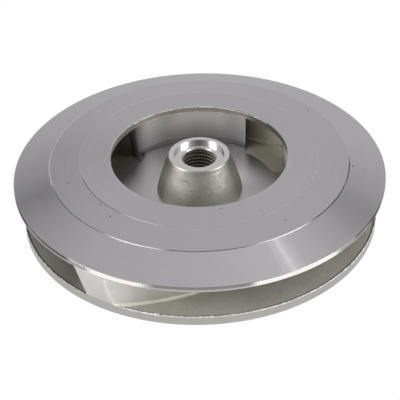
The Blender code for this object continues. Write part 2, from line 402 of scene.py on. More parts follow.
def marked_edge(name, base, marks=()):
    """An edge with painted glints and painted shade in ranges of azimuth, each (middle, half width,
    strength).
    """
    material, graph = new_material(name)
    point, x, y, *_ = graph.place()
    speckle = cloud(graph, point, EDGE_SPECKLE_SCALE, detail=2.0)
    level = graph.number(base) + speckle * EDGE_SPECKLE - EDGE_SPECKLE / 2
    # painted glints and painted shade along the edge, in ranges of azimuth
    for middle, half_width, strength in marks:
        level = level + window(x, y, middle, half_width, EDGE_SOFTNESS) * strength
    colour = graph.blend(level.clamp(), EDGE_DARK, EDGE_BRIGHT)
    finish_material(graph, colour, EDGE_ROUGHNESS, metallic=EDGE_METALLIC)
    return material


print("grooves:", round(front_radius / GROOVE_PITCH), "from the axis to the rim")

# %% [markdown]
# ## As-cast steel
#
# Inside the passages nothing was machined. The skin has copied the sand: dull, slightly olive,
# with a fine orange-peel grain, darker stains where the core binder burnt, and pits. The grain is
# a bump, because it is far smaller than a face. The larger pits of the hub are real geometry
# further down.

# %% As-cast material
CAST_METALLIC = 0.42
# the skin grows lighter towards the rim, painted light where light reaches the passages from outside, and
# the last stop paints a thin shadow line along the edge of the passage floor
CAST_TONES_WITH_PAINTED_LIGHT = [
    # distance from the axis; red, green and blue of the skin there
    (0.0380, 0.330, 0.318, 0.300), (0.0405, 0.300, 0.288, 0.258), (0.0435, 0.310, 0.298, 0.250),
    (0.0480, 0.330, 0.318, 0.262), (0.0620, 0.360, 0.350, 0.290), (0.0740, 0.440, 0.430, 0.375),
    (0.0852, 0.500, 0.490, 0.435), (0.0857, 0.130, 0.125, 0.110),
]
CAST_REACH = 0.1
STAIN_SCALE, SPECKLE_SCALE, GRIT_SCALE = 55.0, 750.0, 2300.0
STAIN_DEPTH, STAIN_SOFTNESS, STAIN_RELIEF = 0.60, 7.0, 0.00016
SAND_PIT_SPACING, SAND_PIT_SIZE, SAND_PIT_SHARE, SAND_PIT_DEPTH = 0.0060, 0.00040, 0.25, 0.00018
WALL_LOW_Z, WALL_HIGH_Z = 0.0150, 0.0300
TIP_LOW_Z, TIP_LOW_RADIUS, TIP_CONE = 0.0051, 0.0864, 0.1747


def cast_steel(name, tones=CAST_TONES_WITH_PAINTED_LIGHT, roughness=0.52, grain=0.00005, metallic=CAST_METALLIC,
               marks=(), foot_shade=0.0, stain_depth=STAIN_DEPTH, painted_tip_highlight=0.0, pitted=False):
    """Sand-cast stainless steel: dull, stained and pitted, with a tone for each distance that partly paints
    light, and with painted light and shade in ranges of azimuth, towards the foot of a wall, along a vane's
    tip and inside the hub's pits.
    """
    material, graph = new_material(name)
    point, x, y, z, radius = graph.place()
    stains = cloud(graph, point, STAIN_SCALE, detail=5.0)
    speckle = cloud(graph, point, SPECKLE_SCALE, detail=2.0)
    grit = cloud(graph, point, GRIT_SCALE, detail=1.0)
    holes = pit_mask(graph, point, SAND_PIT_SPACING, SAND_PIT_SIZE, SAND_PIT_SHARE)
    stops = [(distance / CAST_REACH, (*colour, 1.0)) for distance, *colour in tones]
    skin = graph.ramp(radius * (1.0 / CAST_REACH), stops)
    tone = (stains * 1.1 + speckle * 0.5 + grit * 0.5 - 0.55).clamp()
    level = tone * stain_depth + (1.0 - stain_depth / 2)
    # painted shade inside the hub's pits, from a value stored on the points
    if pitted:
        level = level * (1.0 - graph.add("ShaderNodeAttribute", output=2, attribute_name="pit_shade"))
    # painted light and shade: the level is scaled in ranges of azimuth
    for middle, half_width, strength in marks:
        level = level * (window(x, y, middle, half_width, STAIN_SOFTNESS) * strength + 1.0)
    # painted highlight: a soft light line just under the rounded edge of a vane's tip
    if painted_tip_highlight:
        below = (z - TIP_LOW_Z) * TIP_CONE + TIP_LOW_RADIUS - radius
        line = below.between(0.00002, 0.00012) * (1.0 - below.between(0.00030, 0.00070))
        level = level * (line * painted_tip_highlight + 1.0)
    if foot_shade:
        level = level * (z.between(WALL_LOW_Z, WALL_HIGH_Z) * foot_shade + (1.0 - foot_shade))
    colour = graph.blend(holes * 0.8, graph.scaled(skin, level), PIT_COLOUR)
    rough = stains * 0.16 + (roughness - 0.08)
    height_map = speckle * grain + stains * STAIN_RELIEF - holes * SAND_PIT_DEPTH
    finish_material(graph, colour, rough, height_map, metallic=metallic)
    return material


print("cast skin has", len(CAST_TONES_WITH_PAINTED_LIGHT), "tones from the eye to the rim")

# %% [markdown]
# ## One finish for each kind of surface
#
# The same recipes, with other numbers, give all the finishes. The rim was cut last with a fresh
# tool and is smoother, the disc edge is rougher, and the side of the hub has a brighter skin than
# the passages. Some looks belong to a place. Single pits are real; most of the rest is painted
# light and shade: a painted highlight fanning across the bevel, a painted dark reflection in a
# band on the rim, painted shade on the hub's flanks, at the noses and at the foot of the eye wall,
# painted light and shade in the passages and along the edges, painted highlights on the fillets
# and along a vane's tip, and vane sides painted lighter towards the rim. The bore is darker in
# two ranges of azimuth. A painted texture could hold them, but a row of numbers is easier to
# correct.

# %% All finishes
# painted light: the sides and tips of the vanes grow lighter towards the rim, where more light falls on them
VANE_SIDE_TONES_WITH_PAINTED_LIGHT = [
    # distance from the axis; red, green and blue, as in the tables below
    (0.0436, 0.335, 0.325, 0.295), (0.0560, 0.300, 0.290, 0.240), (0.0700, 0.440, 0.425, 0.360),
    (0.0790, 0.580, 0.562, 0.495), (0.0845, 0.690, 0.675, 0.625), (0.0870, 0.730, 0.718, 0.690),
]
# painted shade in the rounded foot of the eye wall
FOOT_PAINTED_SHADE = [(0.0410, 0.110, 0.104, 0.100)]
BORE_TONES = [(0.0430, 0.380, 0.368, 0.320)]
WALL_TONES = [(0.0430, 0.640, 0.620, 0.615)]
# painted highlights on the fillets where the vanes meet the floor, brightest at the mouth and towards the
# rim
MOUTH_PAINTED_HIGHLIGHT = [(0.0440, 0.990, 0.950, 0.880), (0.0540, 0.990, 0.950, 0.880), (0.0580, 0.360, 0.350, 0.290)]
FILLET_PAINTED_HIGHLIGHT = [(0.0460, 0.500, 0.480, 0.400), (0.0650, 0.720, 0.700, 0.590), (0.0860, 0.980, 0.960, 0.860)]
HUB_TONES = [
    (0.0152, 0.480, 0.468, 0.420), (0.0167, 0.680, 0.662, 0.590),
    (0.0182, 0.980, 0.955, 0.860), (0.0210, 0.990, 0.965, 0.860),
]
# painted shade: the eye wall and its foot darken towards the noses, where the passages open, and in two
# ranges of the wall between them
NOSE_PAINTED_SHADE = [
    # middle azimuth and half width in degrees, strength, as in the other ranges of azimuth below
    (145.0, 13.0, -0.90), (25.0, 13.0, -0.62), (265.0, 13.0, -0.60), (120.0, 13.0, -0.30),
    (58.0, 12.0, -0.30),
]
# the bore is darker in two ranges of azimuth
BORE_DARK_RANGES = [(28.0, 26.0, -0.60), (165.0, 30.0, -0.25)]
# painted shade in the passages on the left and painted light on the floor of the right mouth
PASSAGE_PAINTED_LIGHT_AND_SHADE = [(205.0, 24.0, -0.42), (152.0, 24.0, -0.34), (38.0, 22.0, 0.95)]
# painted shade on the left and right flanks of the hub
HUB_PAINTED_SHADE = [(188.0, 22.0, -0.38), (352.0, 22.0, -0.38), (214.0, 7.0, -0.15), (326.0, 7.0, -0.14)]
# painted dark reflections in a band over the upper half of the rim
RIM_PAINTED_DARK_REFLECTIONS = [(195.0, 33.0, -0.76), (350.0, 29.0, -0.66), (270.0, 14.5, -0.48)]
# painted glints and painted shade on the scribed line and on the bead
SCRIBE_PAINTED_LIGHT_AND_SHADE = [(214.0, 18.0, -0.40), (241.0, 7.0, 0.34), (275.0, 22.0, -0.14)]
BEAD_PAINTED_LIGHT_AND_SHADE = [
    (215.0, 19.0, -0.34), (246.0, 9.0, 0.50), (272.0, 15.0, -0.32), (301.0, 9.0, 0.50), (336.0, 22.0, -0.42),
]
# painted glints and painted shade on the eye's edge
EYE_EDGE_PAINTED_LIGHT_AND_SHADE = [(35.0, 32.0, -0.22), (170.0, 30.0, 0.16), (345.0, 14.0, 0.25), (85.0, 8.0, 0.25)]
# painted shade on the turned face, in fans of azimuth
FACE_PAINTED_SHADE = [
    # middle azimuth, half width and softness in degrees, strength
    (62.0, 45.0, 45.0, -0.08), (176.0, 20.0, 25.0, -0.06),
]
# painted highlights and painted shade on the steep bevel, in fans of azimuth
BEVEL_PAINTED_LIGHT_AND_SHADE = [
    (297.5, 2.0, 4.0, 0.30), (297.0, 0.8, 1.0, 0.16), (294.6, 0.5, 1.0, 0.06), (90.0, 70.0, 30.0, -0.09),
    (196.0, 5.0, 9.0, -0.18), (332.0, 6.0, 9.0, -0.14),
]
# painted light on the pocket floor, brightening a dark reflection
POCKET_PAINTED_LIGHT = [(25.0, 15.0, 15.0, 0.35)]
FACE_SPOTS = [
    # distance from the axis, azimuth in degrees, size
    (0.0686, 35.7, 0.00060), (0.0645, 196.5, 0.00050), (0.0454, 281.9, 0.00045), (0.0534, 301.3, 0.00045),
    (0.0592, 219.0, 0.00050), (0.0622, 228.3, 0.00050), (0.0648, 306.5, 0.00045),
]
BEVEL_SPOTS = [(0.0740, 353.2, 0.00055)]
RIM_LIGHT, RIM_SHADE = (0.640, 0.620, 0.605, 1.0), (0.560, 0.540, 0.525, 1.0)
EDGE_LIGHT, EDGE_SHADE = (0.740, 0.728, 0.705, 1.0), (0.600, 0.590, 0.568, 1.0)
BRIGHT_LIGHT, BRIGHT_SHADE = (0.760, 0.745, 0.750, 1.0), (0.680, 0.665, 0.665, 1.0)
THREAD_LIGHT, THREAD_SHADE = (0.62, 0.60, 0.54, 1.0), (0.42, 0.40, 0.34, 1.0)
RIM_CHATTER = 0.000012
all_finishes = [
    turned_steel("turned_face", painted_fans=FACE_PAINTED_SHADE, spots=FACE_SPOTS),
    turned_steel("pocket_floor", 0.36, 0.32, painted_fans=POCKET_PAINTED_LIGHT),
    turned_steel("turned_bevel", 0.31, painted_fans=BEVEL_PAINTED_LIGHT_AND_SHADE, spots=BEVEL_SPOTS),
    turned_steel("turned_rim", 0.10, 0.2, RIM_LIGHT, RIM_SHADE, 0.0, RIM_CHATTER, painted_dark_bands=RIM_PAINTED_DARK_REFLECTIONS),
    marked_edge("turned_chamfer", 0.66),
    marked_edge("scribed_line", 0.50, SCRIBE_PAINTED_LIGHT_AND_SHADE),
    marked_edge("bead_edge", 0.45, BEAD_PAINTED_LIGHT_AND_SHADE),
    cast_steel("vane_tip", VANE_SIDE_TONES_WITH_PAINTED_LIGHT, 0.42, 0.00002, 0.6, stain_depth=0.25),
    turned_steel("turned_edge", 0.36, 0.30, EDGE_LIGHT, EDGE_SHADE, 0.1),
    cast_steel("turned_bore", BORE_TONES, 0.42, 0.00002, 0.5, BORE_DARK_RANGES),
    cast_steel("eye_wall", WALL_TONES, 0.42, 0.00002, 0.35, NOSE_PAINTED_SHADE, 0.52, 0.25),
    cast_steel("eye_foot", FOOT_PAINTED_SHADE, 0.5, metallic=0.1, marks=NOSE_PAINTED_SHADE),
    cast_steel("cast_passage", marks=PASSAGE_PAINTED_LIGHT_AND_SHADE),
    cast_steel("vane_side", VANE_SIDE_TONES_WITH_PAINTED_LIGHT, 0.46, 0.00004, 0.5, stain_depth=0.4, painted_tip_highlight=0.16),
    cast_steel("vane_fillet", FILLET_PAINTED_HIGHLIGHT, 0.34, 0.00003, 0.5),
    cast_steel("mouth_fillet", MOUTH_PAINTED_HIGHLIGHT, 0.34, 0.00003, 0.15),
    cast_steel("cast_hub", HUB_TONES, 0.44, 0.00005, 0.9, HUB_PAINTED_SHADE, pitted=True),
    turned_steel("turned_ring", 0.36, 0.2, BRIGHT_LIGHT, BRIGHT_SHADE, 0.0),
    turned_steel("turned_counterbore", 0.15, 0.2, BRIGHT_LIGHT, BRIGHT_SHADE, 0.0),
    turned_steel("cut_thread", 0.26, 0.0, THREAD_LIGHT, THREAD_SHADE, 0.0),
    marked_edge("burr_bright", 0.90),
    marked_edge("eye_edge", 0.42, EYE_EDGE_PAINTED_LIGHT_AND_SHADE),
]
finishes = {material.name: material for material in all_finishes}
finish_names = list(finishes)
print("finishes:", ", ".join(finish_names))

# %% [markdown]
# ## Turning a blank
#
# A lathe part is a profile spun about an axis. The profile is a list of points, and each point
# says which finish the surface has from there to the next one. Blender has a Screw modifier and a
# Spin operator for this, but rings built directly let each strip of faces take its finish at
# once.

# %% Turning
BLANK_STEPS = 360
LONG_LINE, HOLD_DISTANCE = 0.0010, 0.00014
SHARP_ANGLE = radians(30.0)


def new_piece(name, mesh):
    """A finished mesh as an object at the origin."""
    piece = bpy.data.objects.new(name, mesh)
    bpy.context.scene.collection.objects.link(piece)
    return piece


def close_mesh(name, work):
    """Turn the faces outwards and keep the work as a piece with a slot for every finish."""
    bmesh.ops.recalc_face_normals(work, faces=work.faces)
    mesh = bpy.data.meshes.new(name)
    for material in finishes.values():
        mesh.materials.append(material)
    work.to_mesh(mesh)
    work.free()
    return new_piece(name, mesh)


def hand_over(piece):
    """Hang the piece under the root body and hide the imported casting that it stands for."""
    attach(piece, "root")
    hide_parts("impeller_casting")


def smooth(mesh):
    """Round faces look round, and edges sharper than a limit stay crisp."""
    mesh.shade_smooth()
    mesh.set_sharp_from_angle(angle=SHARP_ANGLE)


def hold_edges(profile):
    """Add a point close to both ends of every long line, so that shading bends only at the edges."""
    held = []
    for index, (radius, z, finish) in enumerate(profile):
        after = profile[(index + 1) % len(profile)]
        length = hypot(after[0] - radius, after[1] - z)
        held.append((radius, z, finish))
        if length > LONG_LINE:
            for share in (HOLD_DISTANCE / length, 1.0 - HOLD_DISTANCE / length):
                held.append((radius + (after[0] - radius) * share, z + (after[1] - z) * share, finish))
    return held


def turn_profile(name, profile, steps):
    """Spin a closed profile of (radius, height, finish) points round the axis."""
    profile = hold_edges(profile)
    work = bmesh.new()
    rings = []
    for step in range(steps):
        angle = 2.0 * pi * step / steps
        c, s = cos(angle), sin(angle)
        rings.append([work.verts.new((radius * c, radius * s, z)) for radius, z, finish in profile])
    for one, other in zip(rings, rings[1:] + rings[:1]):
        for index, point in enumerate(profile):
            after = (index + 1) % len(profile)
            face = work.faces.new((one[index], one[after], other[after], other[index]))
            face.material_index = finish_names.index(point[2])
    return close_mesh(name, work)


def round_corner(corner, before, after, size, steps):
    """Points of an arc of the given radius that rounds a corner between its two neighbours."""
    corner, before, after = (Vector(point) for point in (corner, before, after))
    u, v = (before - corner).normalized(), (after - corner).normalized()
    half = u.angle(v) / 2
    centre = corner + (u + v).normalized() * (size / sin(half))
    start = corner + u * (size / tan(half)) - centre
    end = corner + v * (size / tan(half)) - centre
    sweep = copysign(pi - 2.0 * half, start.x * end.y - start.y * end.x)
    points = []
    for step in range(steps + 1):
        c, s = cos(sweep * step / steps), sin(sweep * step / steps)
        points.append((centre.x + c * start.x - s * start.y, centre.y + s * start.x + c * start.y))
    return points


print("a blank is turned in", BLANK_STEPS, "steps")

# %% [markdown]
# ## The profile of the casting
#
# From the eye outwards the front shroud has a flat land, a scribed line, a shallow bevel, a
# small raised bead with painted glints and painted shade, a steep bevel, a short upright rim and a
# small chamfer under it. The disc at the back is a little smaller. Inside the eye the lathe cut a
# flat pocket with a rounded corner. Its wall is a hair wider than the eye, so that a narrow lip
# runs round above it. The hub is a piece of its own and stands on the pocket floor.

# %% Profile of the casting
BACK_RADIUS = 0.0864
EYE_RADIUS = 0.0428
EYE_EDGE = 0.0002
EYE_LIP_Z = 0.0309
WALL_RELIEF = 0.00018
LAND_RADIUS, LAND_Z = 0.0580, 0.0331
BEVEL_RADIUS, BEVEL_Z = 0.0725, 0.0312
LINE_WIDTH, LINE_DEPTH = 0.00034, 0.00009
BEAD_WIDTH, BEAD_HEIGHT, BEAD_FOOT = 0.00042, 0.00008, 0.00004
RIM_TOP_Z, RIM_LOW_Z = 0.0249, 0.0226
RIM_ROUND, RIM_ROUND_STEPS = 0.00018, 3
RIM_CHAMFER_RADIUS, RIM_CHAMFER_Z = 0.0893, 0.0217
ROOF_CLEARANCE = 0.0002
POCKET_FLOOR_Z, POCKET_FILLET = 0.0141, 0.0016
POCKET_FLAT_RADIUS = 0.0373
FLOOR_RIM_Z = 0.0047
FLOOR_EYE_RADIUS, FLOOR_EYE_Z = 0.0394, 0.0138
BACK_EDGE = 0.0004
BACK_RING_RADIUS = 0.0765
BACK_WALL = 0.0046
BOSS_RADIUS, BOSS_DRAFT = 0.0200, 0.0015
BACK_FILLET = 0.0025
THREAD_MAJOR_RADIUS, THREAD_MINOR_RADIUS = 0.00905, 0.0079
THREAD_CHAMFER = 0.0010
ARC_STEPS = 6


def passage_floor_z(radius):
    """Height of the back shroud's inner face."""
    slope = (FLOOR_RIM_Z - FLOOR_EYE_Z) / (BACK_RADIUS - FLOOR_EYE_RADIUS)
    return FLOOR_EYE_Z + slope * (radius - FLOOR_EYE_RADIUS)


def passage_roof_z(radius):
    """Height of the front shroud's underside."""
    slope = (RIM_CHAMFER_Z + ROOF_CLEARANCE - EYE_LIP_Z) / (RIM_CHAMFER_RADIUS - EYE_RADIUS)
    return EYE_LIP_Z + slope * (radius - EYE_RADIUS)


def join_runs(*runs):
    """One profile from runs of points, each with the finish of its surface."""
    return [(radius, z, finish) for points, finish in runs for radius, z in points]


def front_runs():
    """The front, from the pocket floor over the eye's edge to the chamfer under the rim."""
    pocket = [(THREAD_MAJOR_RADIUS, POCKET_FLOOR_Z), (POCKET_FLAT_RADIUS, POCKET_FLOOR_Z)]
    wall_radius = EYE_RADIUS + WALL_RELIEF
    wall_foot, wall_top = (wall_radius, POCKET_FLOOR_Z), (wall_radius, height)
    corner = round_corner(wall_foot, pocket[0], wall_top, POCKET_FILLET, ARC_STEPS)
    wall = [corner[-1], (wall_radius, EYE_LIP_Z - WALL_RELIEF)]
    land_start = EYE_RADIUS + EYE_EDGE
    slope = (LAND_Z - height) / (LAND_RADIUS - EYE_RADIUS - EYE_EDGE)
    scribe = [
        (LAND_RADIUS - LINE_WIDTH, LAND_Z - slope * LINE_WIDTH),
        (LAND_RADIUS - LINE_WIDTH / 2, LAND_Z - LINE_DEPTH),
    ]
    bead = [
        (BEVEL_RADIUS - BEAD_WIDTH, BEVEL_Z + BEAD_FOOT),
        (BEVEL_RADIUS - BEAD_WIDTH * 0.4, BEVEL_Z + BEAD_HEIGHT),
        (BEVEL_RADIUS + BEAD_WIDTH * 0.1, BEVEL_Z + BEAD_HEIGHT * 0.75),
    ]
    bevel = [(BEVEL_RADIUS + BEAD_WIDTH * 0.45, BEVEL_Z - BEAD_WIDTH * 0.25)]
    rim_foot = (front_radius, RIM_LOW_Z)
    rim_corner, rim_start = (front_radius, RIM_TOP_Z), (BEVEL_RADIUS, BEVEL_Z)
    rim = round_corner(rim_corner, rim_start, rim_foot, RIM_ROUND, RIM_ROUND_STEPS)
    return [
        (pocket, "pocket_floor"), (corner[:-1], "eye_foot"), (wall, "eye_wall"),
        ([(EYE_RADIUS, EYE_LIP_Z)], "turned_bore"), ([(EYE_RADIUS, height - EYE_EDGE)], "eye_edge"),
        ([(land_start, height)], "turned_face"), (scribe, "scribed_line"),
        ([(LAND_RADIUS, LAND_Z)], "turned_face"), (bead, "bead_edge"), (bevel, "turned_bevel"),
        (rim, "turned_rim"), ([rim_foot], "turned_chamfer"),
        ([(RIM_CHAMFER_RADIUS, RIM_CHAMFER_Z)], "vane_tip"),
    ]


def back_runs():
    """The disc edge, the hollow back, the boss behind the hub and the bore."""
    disc = [(BACK_RADIUS, FLOOR_RIM_Z + BACK_EDGE), (BACK_RADIUS, BACK_EDGE), (BACK_RADIUS - BACK_EDGE, 0.0)]
    dish_outer = (BACK_RING_RADIUS - BOSS_DRAFT, passage_floor_z(BACK_RING_RADIUS) - BACK_WALL)
    dish_knee = (EYE_RADIUS - BACK_FILLET, POCKET_FLOOR_Z - BACK_WALL)
    boss_foot = (BOSS_RADIUS + BOSS_DRAFT, POCKET_FLOOR_Z - BACK_WALL)
    boss_rim = (BOSS_RADIUS, BACK_EDGE)
    dish = [(BACK_RING_RADIUS, 0.0)]
    dish += round_corner(dish_outer, dish[0], dish_knee, BACK_FILLET / 2, ARC_STEPS)
    dish += [dish_knee]
    dish += round_corner(boss_foot, dish_knee, boss_rim, BACK_FILLET, ARC_STEPS)
    boss = [boss_rim, (BOSS_RADIUS - BACK_EDGE, 0.0)]
    bore = [(THREAD_MAJOR_RADIUS + THREAD_CHAMFER, 0.0), (THREAD_MAJOR_RADIUS, THREAD_CHAMFER)]
    return [(disc, "turned_edge"), (dish, "cast_passage"), (boss, "turned_face"), (bore, "cut_thread")]


profile = join_runs(*front_runs(), *back_runs())
casting = turn_profile("casting", profile, BLANK_STEPS)
print("blank:", len(profile), "profile points,", len(casting.data.polygons), "faces")

# %% [markdown]
# ## Three cores, three vanes
#
# A vane is not added: it is what stays between two cores. Each core follows two logarithmic
# spirals, the curve that water takes when its angle to the rim stays the same. The tips in the
# photograph look rounded off by hand, so the convex spiral meets the rim through a soft blend. At
# its inner end the core breaks through the wall of the eye, which is the opening at the back
# right of the photograph.

# %% Spirals
VANE_COUNT = 3
CONCAVE_TIP_ANGLE = -7.8
CONCAVE_SLOPE = 0.41
CONCAVE_END_ANGLE, CONCAVE_END_RADIUS = 62.0, 0.0535
CONCAVE_END_CURVE, CONCAVE_END_SPAN = 0.0000148, 10.0
CONCAVE_END_BLEND = 0.0012
CONVEX_TIP_ANGLE = 2.3
CONVEX_SLOPE_TIP, CONVEX_SLOPE_NOSE = 0.44, 0.07
NOSE_ANGLE, NOSE_ROUNDING = 138.0, 9.0
NOSE_TIP_RADIUS = 0.0460
CORE_REACH = 0.0063
CORE_OVERRUN = 0.0040


def soft_minimum(one, other, width):
    """The smaller of two values, with the corner between them rounded over a width."""
    overlap = max(0.0, 1.0 - abs(one - other) / width)
    return min(one, other) - overlap * overlap * width / 4


def convex_radius(angle):
    """Outer side of a vane whose tip is near angle 0, at the height of the floor."""
    turn = radians(angle - CONVEX_TIP_ANGLE)
    full_turn = radians(NOSE_ANGLE - CONVEX_TIP_ANGLE)
    easing = (CONVEX_SLOPE_TIP - CONVEX_SLOPE_NOSE) / full_turn
    spiral = BACK_RADIUS * exp(-(CONVEX_SLOPE_TIP * turn - 0.5 * easing * turn * turn))
    past_nose = (angle - NOSE_ANGLE + NOSE_ROUNDING) / NOSE_ROUNDING
    if past_nose <= 0.0:
        return spiral
    if past_nose >= 1.0:
        return EYE_RADIUS - CORE_REACH
    return NOSE_TIP_RADIUS + (spiral - NOSE_TIP_RADIUS) * sqrt(1.0 - past_nose ** 2)


def concave_radius(angle):
    """Inner side of the same vane, which flattens at its inner end."""
    spiral = BACK_RADIUS * exp(-CONCAVE_SLOPE * radians(angle - CONCAVE_TIP_ANGLE))
    inner_end = CONCAVE_END_RADIUS + CONCAVE_END_CURVE * (CONCAVE_END_ANGLE - angle) ** 2
    if angle > CONCAVE_END_ANGLE - CONCAVE_END_SPAN:
        spiral = inner_end
    elif angle > CONCAVE_END_ANGLE / 2:
        spiral = soft_minimum(spiral, inner_end, CONCAVE_END_BLEND)
    return min(spiral, front_radius + CORE_OVERRUN)


pitch_angle = 360.0 / VANE_COUNT
thickness = convex_radius(60.0) - concave_radius(60.0)
print("a vane is", round(thickness * 1000, 1), "mm thick at 60 degrees, along a radius")

# %% [markdown]
# ## Lofting a core
#
# A loft joins cross-sections. Each one is a four-sided outline between floor and roof, with
# rounded corners, because a sand core can't have sharp ones, and the fillets of the vanes come
# from there. The sections lean with height and skew where the core ends.

# %% Core
MOUTH_CORNER_ANGLE = 55.1
LEAN_ANGLE = 2.3
PASSAGE_FILLET, CONCAVE_FILLET, FILLET_LIMIT = 0.0013, 0.0006, 0.3
TIP_BLEND, TIP_CLEARANCE = 0.0009, 0.00018
STATION_DEGREES, STATION_GAP, CORE_LEAD = 1.5, 0.3, 8.5
NOSE_STATIONS = (0.0, 0.2, 0.4, 0.55, 0.7, 0.8, 0.88, 0.94, 0.975, 0.993, 1.0)


def tip_radius(z):
    """Radius of the turned outer surface between the disc and the shroud."""
    share = (z - FLOOR_RIM_Z - BACK_EDGE) / (RIM_CHAMFER_Z - FLOOR_RIM_Z - BACK_EDGE)
    return BACK_RADIUS + (RIM_CHAMFER_RADIUS - BACK_RADIUS) * min(max(share, 0.0), 1.0)


def core_stations():
    """Angles of the cross-sections, close together round the nose of the vane."""
    start = CONVEX_TIP_ANGLE - CORE_LEAD
    end = pitch_angle + CONCAVE_END_ANGLE
    steps = ceil((end - start) / STATION_DEGREES)
    angles = [start + (end - start) * step / steps for step in range(steps + 1)]
    nose = [NOSE_ANGLE - NOSE_ROUNDING * (1.0 - part) for part in NOSE_STATIONS]
    clear = [a for a in angles if min(abs(a - n) for n in nose) > STATION_GAP]
    return sorted(clear + nose)


def core_section(angle):
    """One closed cross-section as (radius, height, angle) points."""
    end = pitch_angle + CONCAVE_END_ANGLE
    past = max(0.0, (angle - NOSE_ANGLE) / (end - NOSE_ANGLE))
    reach = CONCAVE_END_RADIUS - EYE_RADIUS
    end_skew = (CONCAVE_END_ANGLE - MOUTH_CORNER_ANGLE) * (reach + CORE_REACH) / reach
    skew = past ** 2 * end_skew
    lean = (1.0 - past) * LEAN_ANGLE
    inner = convex_radius(angle)
    outer = concave_radius(angle - pitch_angle)
    corners = [
        (inner, passage_floor_z(inner)), (outer, passage_floor_z(outer)),
        (outer, passage_roof_z(outer)), (inner, passage_roof_z(inner)),
    ]
    largest = FILLET_LIMIT * (outer - inner)
    outline = []
    for index, corner in enumerate(corners):
        size = min(CONCAVE_FILLET if corner[0] == outer else PASSAGE_FILLET, largest)
        outline += round_corner(corner, corners[index - 1], corners[(index + 1) % 4], size, ARC_STEPS)
    section = []
    for radius, z in outline:
        rise = (z - passage_floor_z(radius)) / (passage_roof_z(radius) - passage_floor_z(radius))
        inward = (outer - radius) / (outer - inner)
        limit = tip_radius(z) + TIP_CLEARANCE
        if angle < NOSE_ANGLE / 2 and inward > 0.5:
            radius = soft_minimum(radius, limit, TIP_BLEND) if radius < limit + TIP_BLEND else limit
        section.append((radius, z, angle + lean * rise - skew * inward))
    return section


def loft(name, sections, finish_of, first_finish=None):
    """A closed solid through cross-sections of (radius, height, angle) points."""
    work = bmesh.new()
    rings = []
    for section in sections:
        ring = []
        for radius, z, place in section:
            around = radians(place)
            ring.append(work.verts.new((radius * cos(around), radius * sin(around), z)))
        rings.append(ring)
    for one, other in zip(rings, rings[1:]):
        for index in range(len(one)):
            face = work.faces.new((one[index - 1], one[index], other[index], other[index - 1]))
            face.material_index = finish_names.index(finish_of(index, len(one)))
    last_finish = finish_of(0, len(rings[0]))
    work.faces.new(reversed(rings[0])).material_index = finish_names.index(first_finish or last_finish)
    work.faces.new(rings[-1]).material_index = finish_names.index(last_finish)
    bmesh.ops.triangulate(work, faces=work.faces)
    return close_mesh(name, work)


def core_finish(index, count):
    """The inner side of a core shapes the convex side and the foot of a vane."""
    corner = count // 4
    if 0 < index < corner:
        return "vane_fillet"
    if corner < index < 2 * corner:
        return "mouth_fillet"
    return "vane_side" if index == 0 or index >= count - corner else "cast_passage"


def passage_core(number):
    """The core of one passage as a closed cutter with the as-cast finishes."""
    sections = []
    for angle in core_stations():
        sections.append([(r, z, place + pitch_angle * number) for r, z, place in core_section(angle)])
    return loft(f"passage_core_{number + 1}", sections, core_finish)


print("a core has", len(core_stations()), "cross-sections of", len(core_section(0.0)), "points")

# %% [markdown]
# ## The nose of a vane
#
# The inner end of a vane is thick and round, where the wall of the eye turns into a passage. The
# core gives its outer half. A small cutter takes the corner off the inner half: a quarter of an
# ellipse, lofted between floor and roof.

# %% Nose cutter
NOSE_INNER_ROUNDING = 6.0
NOSE_CUT_IN = 0.0003
NOSE_CUT_PAST = 1.5
NOSE_CLEARANCE = 0.00002
MOUTH_EDGE_RADIUS = 0.0380
NOSE_STEPS = 14


def nose_cutter(number):
    """What is taken off the inner corner of one vane's nose."""
    turn = pitch_angle * number
    start = NOSE_ANGLE - NOSE_INNER_ROUNDING
    wall = EYE_RADIUS - NOSE_CUT_IN
    quarter = [radians(90.0 * step / NOSE_STEPS) for step in range(NOSE_STEPS + 1)]
    outline = []
    for part in quarter:
        radius = NOSE_TIP_RADIUS - (NOSE_TIP_RADIUS - wall) * cos(part)
        outline.append((radius, start + NOSE_INNER_ROUNDING * sin(part)))
    past = NOSE_ANGLE + NOSE_CUT_PAST
    outline += [(NOSE_TIP_RADIUS, past), (MOUTH_EDGE_RADIUS, past)]
    for part in quarter[:-1]:
        radius = wall - (wall - MOUTH_EDGE_RADIUS) * cos(part)
        outline.append((radius, NOSE_ANGLE - NOSE_INNER_ROUNDING * sin(part)))
    low = [(r, passage_floor_z(r) + NOSE_CLEARANCE, place + turn) for r, place in outline]
    high = [(r, passage_roof_z(r) - NOSE_CLEARANCE, place + turn + LEAN_ANGLE) for r, place in outline]
    return loft(f"nose_cutter_{number + 1}", [low, high], lambda index, count: "eye_wall", "pocket_floor")


print("the nose cutter takes", round((NOSE_TIP_RADIUS - EYE_RADIUS) * 1000, 1), "mm off the corner")

# %% [markdown]
# ## Cutting
#
# A Boolean modifier with the exact solver takes out the six cutters one by one, and index mode
# keeps the finish of each cutter's faces. The pocket floor is then creased all round, so that its
# shading doesn't run into the fillet and the passages.

# %% Cut the passages


def apply_modifiers(piece):
    """Turn the evaluated shape into a plain mesh and drop the modifiers."""
    evaluated = piece.evaluated_get(bpy.context.evaluated_depsgraph_get())
    mesh = bpy.data.meshes.new_from_object(evaluated)
    piece.modifiers.clear()
    old = piece.data
    piece.data = mesh
    bpy.data.meshes.remove(old)
    mesh.name = piece.name


